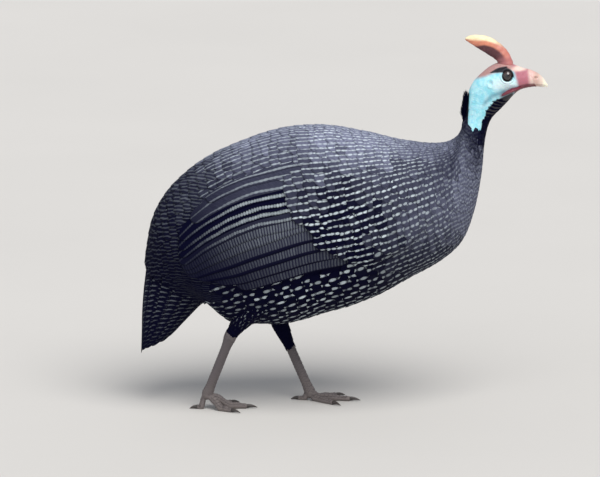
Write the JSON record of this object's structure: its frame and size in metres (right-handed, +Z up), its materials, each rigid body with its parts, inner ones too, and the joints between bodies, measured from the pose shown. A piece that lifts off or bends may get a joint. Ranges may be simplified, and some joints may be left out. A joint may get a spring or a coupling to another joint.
{
  "type": "guinea fowl",
  "caption": "Life-size still model of a helmeted guinea fowl in mid stride, with folded wings, drooping tail and tall horny casque.",
  "frame": {"origin": "middle of the bird's bounding box at the level of its soles", "axes": "+X is where the bird faces, +Y its left side, +Z up"},
  "size_m": [0.4186, 0.1614, 0.3878],
  "materials": {
    "plumage": "matt black feathers with white spots",
    "wing": "matt black feathers with rows of white spots and grey bars",
    "skin_blue": "bare pale blue skin",
    "casque": "dull brown horn",
    "bill": "pale horn with a red base",
    "wattle": "red bare skin",
    "eye": "wet dark brown",
    "leg": "grey scaly skin",
    "claw": "dark horn"
  },
  "bodies": {
    "root": {"casque": "casque", "claw_left_hind": "claw", "claw_left_inner": "claw", "claw_left_middle": "claw", "claw_left_outer": "claw", "claw_right_hind": "claw", "claw_right_inner": "claw", "claw_right_middle": "claw", "claw_right_outer": "claw", "eye_left": "eye", "eye_right": "eye", "foot_left": "leg", "foot_right": "leg", "head": "skin_blue", "lower_bill": "bill", "neck": "skin_blue", "shank_left": "leg", "shank_right": "leg", "tail": "plumage", "thigh_left": "plumage", "thigh_right": "plumage", "torso": "plumage", "upper_bill": "bill", "wattle_left": "wattle", "wattle_right": "wattle", "wing_left": "wing", "wing_right": "wing"}
  },
  "joints": []
}
